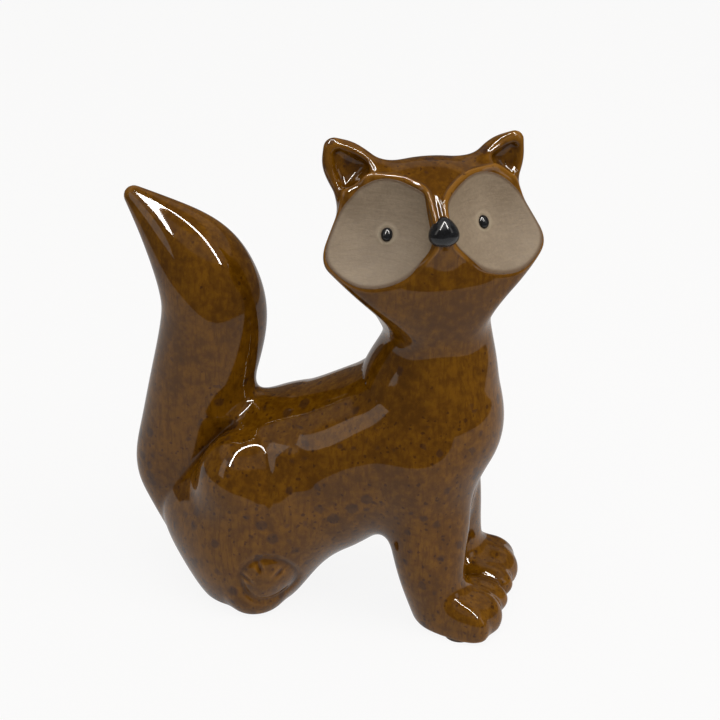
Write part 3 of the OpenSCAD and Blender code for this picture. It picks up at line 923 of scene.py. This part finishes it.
def dented(height, strength, distance):
    """Normal of a surface dented by a height pattern."""
    node = add_node(height.id_data, "ShaderNodeBump", Height=height, Strength=strength,
                    Distance=distance)
    return node.outputs["Normal"]


def surface(colour, dents, pattern, rough, **values):
    """Shader of a finish: its roughness follows a pattern, the other values go by name."""
    node = add_node(dents.id_data, "ShaderNodeBsdfPrincipled", Base_Color=colour, Normal=dents,
                    Roughness=spread(pattern, 0.3, 0.7, *rough), **values)
    return node.outputs[0]


def honey_glaze(where, look):
    """Transparent amber glaze: clouds, fine streaks, iron specks, deeper in creases."""
    clouds = noise(where, 48, 3, 0.55, 0.4)
    grain = noise(where, 360, 3, 0.6)
    streaks = noise(stretched(where, (1, 1, 0.14)), 900, 3, 0.65, 0.3)
    mottle = times(grain, 0.55, times(clouds, 0.45))
    colour = tinted(spread(mottle, 0.36, 0.64), look.deep_amber, look.amber)
    colour = tinted(spread(streaks, 0.47, 0.66, 0.0, 0.7), colour, look.deep_amber)
    depth = mark(where, "depth")
    colour = tinted(spread(depth, 0.42, 0.1, 0.0, 0.85), colour, look.ridge)
    colour = tinted(spread(depth, 0.56, 0.95, 0.0, 0.8), colour, look.pool)
    crooked = shaken(where, 520.0, 0.0016)
    share = mark(where, "specks")
    fine = spots(crooked, 560, 0.26, times(share, 0.5))
    large = spots(crooked, 210, 0.32, times(share, 0.45))
    colour = tinted(times(fine, 0.6), colour, look.speck)
    colour = tinted(times(large, 0.55), colour, look.spot)
    height = times(grain, 0.25, clouds)
    height = maths("SUBTRACT", height, times(large, 0.1))
    dents = dented(height, 0.05, 0.0004)
    return surface(colour, dents, grain, (0.45, 0.6), Specular_IOR_Level=0.0,
                   Coat_Weight=0.5, Coat_Roughness=0.045, Coat_IOR=1.5, Coat_Normal=dents)


def bare_clay(where, look):
    """Unglazed patch: grain, brushed arcs, a brown bleed at the edge, a pale ring at the eye."""
    grain = noise(where, 900, 4, 0.7)
    clouds = noise(where, 90, 2)
    arcs = noise(stretched(where, (0.5, 0.5, 2.6)), 320, 2, 0.6, 0.6)
    tone = times(grain, 0.4, times(clouds, 0.35))
    tone = times(arcs, 0.2, tone)
    colour = tinted(spread(tone, 0.36, 0.64), look.clay_shade, look.clay)
    colour = tinted(mark(where, "bleed"), colour, look.clay_edge)
    colour = tinted(mark(where, "halo"), colour, look.clay_halo)
    dents = dented(times(grain, 0.5, arcs), 0.4, 0.00035)
    return surface(colour, dents, grain, (0.72, 0.9), Specular_IOR_Level=0.3)


def black_glaze(where, look):
    """Glossy black bead: a trace of blue cloud in the glaze and small dents."""
    clouds = noise(where, 420, 3, 0.6)
    colour = tinted(spread(clouds, 0.35, 0.7), look.black, look.black_cloud)
    return surface(colour, dented(clouds, 0.2, 0.0002), clouds, (0.16, 0.3),
                   Specular_IOR_Level=0.15, Coat_Weight=0.4, Coat_Roughness=0.05)


def sole_clay(where, look):
    """Unglazed foot: darker fired clay with scuffs."""
    grain = noise(where, 700, 4, 0.7)
    scuffs = noise(stretched(where, (0.4, 2, 1)), 260, 3, 0.6, 0.8)
    tone = times(grain, 0.5, times(scuffs, 0.5))
    colour = tinted(spread(tone, 0.35, 0.65), look.sole_shade, look.sole)
    return surface(colour, dented(tone, 0.4, 0.0003), grain, (0.7, 0.9))


def new_material(name, make):
    """Material whose shader is made by a function of its place and the fox's colours."""
    material = bpy.data.materials.new(name)
    material.use_nodes = True
    tree = material.node_tree
    tree.nodes.clear()
    where = add_node(tree, "ShaderNodeTexCoord").outputs["Object"]
    out = tree.nodes.new("ShaderNodeOutputMaterial")
    feed(out.inputs["Surface"], make(where, bpy.context.scene.fox_colours))
    return material


FINISHES = {
    "honey_glaze": honey_glaze, "bare_clay": bare_clay,
    "black_glaze": black_glaze, "sole_clay": sole_clay,
}


def finish(slot):
    """Detailed material of a slot, made on its first use."""
    name = f"fox_{slot}"
    return bpy.data.materials.get(name) or new_material(name, FINISHES[slot])


# ------------------------------------------------------------------ user settings

LENGTH = {"unit": "LENGTH", "subtype": "DISTANCE", "precision": 4}
ANGLE = {"unit": "ROTATION", "subtype": "ANGLE"}
POWER = {"unit": "POWER", "min": 0}


def number(name, description, default, **more):
    """Setting that is one number."""
    return FloatProperty(name=name, description=description, default=default, **more)


def colour(name, description, default):
    """Setting that is a colour."""
    return FloatVectorProperty(name=name, description=description, default=default, size=3,
                               subtype="COLOR", min=0.0, max=1.0)


class FoxSizes(bpy.types.PropertyGroup):
    """Sizes that a user would change"""

    body_step: number("Body skin step", "Cell size of the body's skin, in millimetres",
                      0.75, min=0.4, max=3)
    head_step: number("Head skin step", "Cell size of the head's skin, in millimetres",
                      0.5, min=0.3, max=3)
    patch_depth: number("Patch clay", "Thickness of the bare clay in each eye patch",
                        0.0012, min=0.0005, max=0.002, **LENGTH)
    nose_width: number("Nose width", "Width of the nose bead",
                       0.0091, min=0.008, max=0.011, **LENGTH)
    eye_width: number("Eye width", "Width of an eye bead",
                      0.0036, min=0.003, max=0.0042, **LENGTH)


class FoxColours(bpy.types.PropertyGroup):
    """Colours of the glaze, clay and beads"""

    amber: colour("Amber", "Glaze where it is of usual depth", (0.2, 0.081, 0.003))
    deep_amber: colour(
        "Deep amber", "Glaze in its darker clouds and streaks", (0.1, 0.037, 0.0012))
    ridge: colour("Ridge", "Thin glaze over edges and rims", (0.285, 0.124, 0.014))
    pool: colour("Pool", "Deep glaze in creases", (0.045, 0.013, 0.0008))
    speck: colour("Speck", "Fine iron specks", (0.03, 0.009, 0.003))
    spot: colour("Spot", "Large purple-brown iron spots", (0.032, 0.014, 0.012))
    clay: colour("Clay", "Bare clay of the eye patches", (0.335, 0.258, 0.175))
    clay_shade: colour("Clay shade", "Darker grain of the bare clay", (0.25, 0.187, 0.122))
    clay_edge: colour(
        "Clay edge", "Clay stained by the glaze at its edge", (0.12, 0.06, 0.02))
    clay_halo: colour("Clay halo", "Pale ring round each eye", (0.4, 0.32, 0.22))
    black: colour("Black", "Black glaze of nose and eyes", (0.006, 0.0065, 0.008))
    black_cloud: colour(
        "Black cloud", "Bluish clouds in the black glaze", (0.012, 0.014, 0.018))
    sole: colour("Sole", "Bare clay under the feet", (0.16, 0.11, 0.07))
    sole_shade: colour("Sole shade", "Darker grain of the soles", (0.07, 0.045, 0.03))


class FoxStudio(bpy.types.PropertyGroup):
    """Camera and lamps"""

    azimuth: number("Camera azimuth", "Turn of the camera round the fox",
                    np.radians(14.76), **ANGLE)
    elevation: number("Camera elevation", "Height of the camera as an angle",
                      np.radians(27.17), **ANGLE)
    distance: number("Camera distance", "From the camera to the middle of the fox",
                     0.6, min=0.2, max=3, **LENGTH)
    lens: number("Lens", "Focal length in millimetres", 93.0, min=35, max=200)
    strip_power: number("Strip lamps", "Power of each of the two ceiling strips", 19.0, **POWER)
    side_power: number("Side panels", "Power of each panel that shows only in the glaze",
                       0.7, **POWER)
    top_power: number("Top lamp", "Power of the soft lamp above", 4.0, **POWER)
    soft_power: number("Soft lamp", "Power of the large soft lamp", 6.5, **POWER)
    room: number("Room light", "Strength of the light from all round", 0.2, min=0)
    ring: number("Ceiling light", "Strength of the pale ring of ceiling", 0.45, min=0)


# ------------------------------------------------------------------------- studio

MIDDLE = Vector((0.0032, 0, 0.075))
TABLE_SIDES, TABLE_HALF, TABLE_BACK = 96, (0.36, 0.57), 0.29
TABLE_SEEN_WHITE = 0.9
CEILING_LOW, CEILING_TOP = (0.52, 0.58), (0.9, 0.84)
LAMP_TINT = (1, 0.97, 0.93)
SENSOR, PICTURE_SHIFT = 36, 25 / 720

# Name, place (right, toward the camera, up), width and length, power, and what it is hidden from
LAMPS = (
    ("strip_left", (-0.3, 0.35, 0.85), (0.06, 1.0), "strip_power", "visible_diffuse"),
    ("strip_right", (0.3, 0.35, 0.85), (0.06, 1.0), "strip_power", "visible_diffuse"),
    ("side_left", (-0.7, 0.4, 0.35), (0.25, 0.5), "side_power", "visible_diffuse"),
    ("side_right", (0.85, 0.4, 0.35), (0.25, 0.5), "side_power", "visible_diffuse"),
    ("soft_top", (0, 0.3, 1.0), (0.9, 0.9), "top_power", "visible_glossy"),
    ("soft_right", (1.1, 0.5, 0.7), (0.9, 0.9), "soft_power", "visible_glossy"),
)


def pale_floor(where, _look):
    """Matt white that camera, glossy and transmission rays all see the same, nearly plain."""
    tree = where.id_data
    matt = add_node(tree, "ShaderNodeBsdfDiffuse", Color=(0.8, 0.8, 0.8, 1))
    white = add_node(tree, "ShaderNodeEmission", Color=(1, 1, 1, 1), Strength=1.0)
    rays = tree.nodes.new("ShaderNodeLightPath").outputs
    seen = maths("ADD", rays["Is Camera Ray"], rays["Is Glossy Ray"])
    seen = maths("ADD", seen, rays["Is Transmission Ray"], clamp=True)
    both = add_node(tree, "ShaderNodeMixShader", Fac=times(seen, TABLE_SEEN_WHITE))
    feed(both.inputs[1], matt.outputs[0])
    feed(both.inputs[2], white.outputs[0])
    return both.outputs[0]


def add_floor(right, toward):
    """Table top with the fox nearer its front edge, and rounded corners.

    Its rim is a circle whose two coordinates are replaced by their square roots.
    """
    turns = np.arange(TABLE_SIDES) * 2 * np.pi / TABLE_SIDES
    across, along = (np.sign(v) * np.sqrt(np.abs(v)) for v in (np.cos(turns), np.sin(turns)))
    rim = [right * TABLE_HALF[0] * x + toward * (TABLE_HALF[1] * y - TABLE_BACK)
           for x, y in zip(across, along)]
    mesh = bpy.data.meshes.new("floor")
    mesh.from_pydata(rim, [], [tuple(range(TABLE_SIDES))])
    mesh.materials.append(new_material("pale_floor", pale_floor))
    floor = put_in_scene("floor", mesh)


def add_world(studio):
    """Plain grey room with a paler ring of ceiling, the same for every kind of ray."""
    world = bpy.data.worlds.new("studio")
    world.use_nodes = True
    tree = world.node_tree
    tree.nodes.clear()
    way = add_node(tree, "ShaderNodeTexCoord").outputs["Generated"]
    height = add_node(tree, "ShaderNodeSeparateXYZ", Vector=way).outputs["Z"]
    ring = times(spread(height, *CEILING_LOW), spread(height, *CEILING_TOP))
    light = times(ring, studio.ring, studio.room)
    room = add_node(tree, "ShaderNodeBackground", Color=(1.0, 0.95, 0.88, 1), Strength=light)
    out = tree.nodes.new("ShaderNodeOutputWorld")
    feed(out.inputs["Surface"], room.outputs[0])
    bpy.context.scene.world = world


def aim(placed, place, way):
    """Object moved to a place and turned so that it looks along a direction."""
    placed.location = place
    placed.rotation_mode = "QUATERNION"
    placed.rotation_quaternion = way.to_track_quat("-Z", "Y")


def add_lamps(studio, right, toward):
    """Soft lamps that light the fox, and narrow ones that only show in its glaze."""
    for name, (x, y, z), (wide, long), power, hidden_from in LAMPS:
        data = bpy.data.lights.new(name, "AREA")
        data.shape, data.size, data.size_y = "RECTANGLE", wide, long
        data.energy, data.color = getattr(studio, power), LAMP_TINT
        light = put_in_scene(name, data)
        offset = right * x + toward * y + Vector((0, 0, z))
        aim(light, MIDDLE + offset, -offset)
        setattr(light, hidden_from, False)


def add_camera(studio, toward):
    """Camera at the photograph's angle, with the picture shifted as the photo's frame is."""
    data = bpy.data.cameras.new("camera")
    data.lens, data.sensor_width = studio.lens, SENSOR
    data.shift_x = data.shift_y = PICTURE_SHIFT
    data.clip_start, data.clip_end = 0.01, 20
    back = toward * np.cos(studio.elevation) + Vector((0, 0, np.sin(studio.elevation)))
    camera = put_in_scene("camera", data)
    aim(camera, MIDDLE + back * studio.distance, -back)
    bpy.context.scene.camera = camera


# ---------------------------------------------------------------------- operators

SIDES = ("left", "right")


class FoxBody(bpy.types.Operator):
    """Torso, legs and paws, cut from one blended skin along the slip joints"""

    bl_idname = "fox.body"
    bl_label = "Body castings"
    bl_options = {"REGISTER", "UNDO"}

    def execute(self, context):
        skin = skin_of(fox_gap, BODY_BOX, context.scene.fox_sizes.body_step)
        _tail, skin = cut(skin, tail_side)
        _head, skin = cut(skin, above_neck)
        front, skin = cut(skin, front_side)
        for side, name in zip((1, -1), SIDES):
            paw, skin = cut(skin, lambda p: round_side(p, side, *HIND_PAW_CUT))
            leg, skin = cut(skin, lambda p: round_side(p, side, *HIP_CUT))
            glazed_piece(f"hind_paw_{name}", *paw)
            glazed_piece(f"hind_leg_{name}", *leg)
        for name, whole in zip(SIDES, cut(front, on_left)):
            paw, leg = cut(whole, below_ankle)
            glazed_piece(f"front_paw_{name}", *paw)
            glazed_piece(f"front_leg_{name}", *leg)
        glazed_piece("torso", *skin)
        return {"FINISHED"}


class FoxTail(bpy.types.Operator):
    """Upright tail, joined to the rump along a crease"""

    bl_idname = "fox.tail"
    bl_label = "Tail casting"
    bl_options = {"REGISTER", "UNDO"}

    def execute(self, context):
        skin = skin_of(fox_gap, TAIL_BOX, context.scene.fox_sizes.body_step)
        tail, _rump = cut(skin, tail_side)
        glazed_piece("tail", *tail)
        return {"FINISHED"}


class FoxHead(bpy.types.Operator):
    """Head with rolled patch rims, two cupped ears and the bare clay floors of the patches"""

    bl_idname = "fox.head"
    bl_label = "Head, ears and eye patches"
    bl_options = {"REGISTER", "UNDO"}

    def execute(self, context):
        sizes = context.scene.fox_sizes
        depth = sizes.patch_depth / MM
        head, _neck = cut(skin_of(fox_gap, HEAD_BOX, sizes.head_step), above_neck)
        ears, head = cut(head, ear_side)
        floors, head = cut(head, patch_side)
        floors = cut(floors, on_head_left)
        for name, ear in zip(SIDES, cut(ears, on_head_left)):
            glazed_piece(f"ear_{name}", *ear)
        for name, floor in zip(SIDES, floors):
            points, faces = patch_solid(*floor, depth)
            q = in_head(points)
            marks = {
                "bleed": BLEED * ramp(-plain_head_gap(q), *BLEED_REACH),
                "halo": HALO * bump(eye_distance(q), HALO_AT, HALO_WIDTH),
            }
            new_piece(f"eye_patch_{name}_clay", f"eye_patch_{name}", "bare_clay", points, faces,
                      marks=marks)
        glazed_piece("head", *with_pockets(head, floors, depth))
        return {"FINISHED"}


class FoxBeads(bpy.types.Operator):
    """Nose and eye beads, each a surface of two angles"""

    bl_idname = "fox.beads"
    bl_label = "Nose and eyes"
    bl_options = {"REGISTER", "UNDO"}

    def execute(self, context):
        sizes = context.scene.fox_sizes
        d, faces = ball_grid(BALL_ROWS, BALL_COLUMNS)
        # Nose: a ball whose width shrinks toward its top, so it reads as a rounded triangle
        shape = d * (NOSE_THICK, sizes.nose_width / MM / 2, NOSE_TALL)
        shape[:, 1] *= 1 - NOSE_NARROWING * d[:, 2] - NOSE_ROUNDING * d[:, 2] ** 2
        shape[:, 2] -= NOSE_DROOP * d[:, 1] ** 2
        points = from_head(facing(shape, NOSE_WAY) + NOSE_AT)
        new_piece("nose_bead", "nose", "black_glaze", points, faces)
        # Eye: a ball flattened against the floor and a little taller than wide
        wide = sizes.eye_width / MM / 2
        shape = d * (EYE_THICK, wide, wide * EYE_TALL)
        for side, name in zip((1, -1), SIDES):
            mirror = np.array((1, side, 1))
            points = facing(shape, DISH_WAY * mirror) + EYE_AT * mirror + (0, 0, side * DISH_LIFT)
            new_piece(f"eye_{name}_bead", f"eye_{name}", "black_glaze", from_head(points), faces)
        return {"FINISHED"}


class FoxSoles(bpy.types.Operator):
    """Finish of the flat unglazed soles, whose shape comes with the frame"""

    bl_idname = "fox.soles"
    bl_label = "Soles"
    bl_options = {"REGISTER", "UNDO"}

    def execute(self, context):
        for name in (f"{pair}_sole_{side}" for pair in ("front", "hind") for side in SIDES):
            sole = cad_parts[name]
            if not sole.material_slots:
                sole.data.materials.append(None)
            for place in sole.material_slots:
                place.material = finish("sole_clay")
        return {"FINISHED"}


class FoxStage(bpy.types.Operator):
    """Pale floor, soft studio light and the camera at the photograph's angle"""

    bl_idname = "fox.stage"
    bl_label = "Studio"
    bl_options = {"REGISTER", "UNDO"}

    def execute(self, context):
        studio = context.scene.fox_studio
        turn = studio.azimuth
        right = Vector((np.cos(turn), np.sin(turn), 0))
        toward = Vector((np.sin(turn), -np.cos(turn), 0))
        add_floor(right, toward)
        add_world(studio)
        add_lamps(studio, right, toward)
        add_camera(studio, toward)
        context.scene.view_settings.view_transform = "Standard"
        return {"FINISHED"}


class FoxPanel(bpy.types.Panel):
    """Lists the fox's pieces and the studio"""

    bl_idname = "VIEW3D_PT_fox"
    bl_label = "Glazed fox"
    bl_space_type = "VIEW_3D"
    bl_region_type = "UI"
    bl_category = "Fox"

    def draw(self, context):
        layout = self.layout
        for operator in OPERATORS:
            layout.operator(operator.bl_idname)
        for group, _class in GROUPS:
            settings = getattr(context.scene, group)
            column = layout.column(align=True)
            for name in settings.bl_rna.properties.keys():
                if name not in ("rna_type", "name"):
                    column.prop(settings, name)


OPERATORS = (FoxBody, FoxTail, FoxHead, FoxBeads, FoxSoles, FoxStage)
GROUPS = (("fox_sizes", FoxSizes), ("fox_colours", FoxColours), ("fox_studio", FoxStudio))


def register():
    """Settings, operators and panel added to Blender."""
    for name, group in GROUPS:
        bpy.utils.register_class(group)
        setattr(bpy.types.Scene, name, PointerProperty(type=group))
    for item in (*OPERATORS, FoxPanel):
        bpy.utils.register_class(item)


def unregister():
    """Everything that register added taken out again."""
    for item in (FoxPanel, *reversed(OPERATORS)):
        bpy.utils.unregister_class(item)
    for name, group in reversed(GROUPS):
        delattr(bpy.types.Scene, name)
        bpy.utils.unregister_class(group)


def main():
    """Fox and studio built."""
    register()
    for operator in OPERATORS:
        group, name = operator.bl_idname.split(".")
        getattr(getattr(bpy.ops, group), name)()


if __name__ == "__main__":
    main()
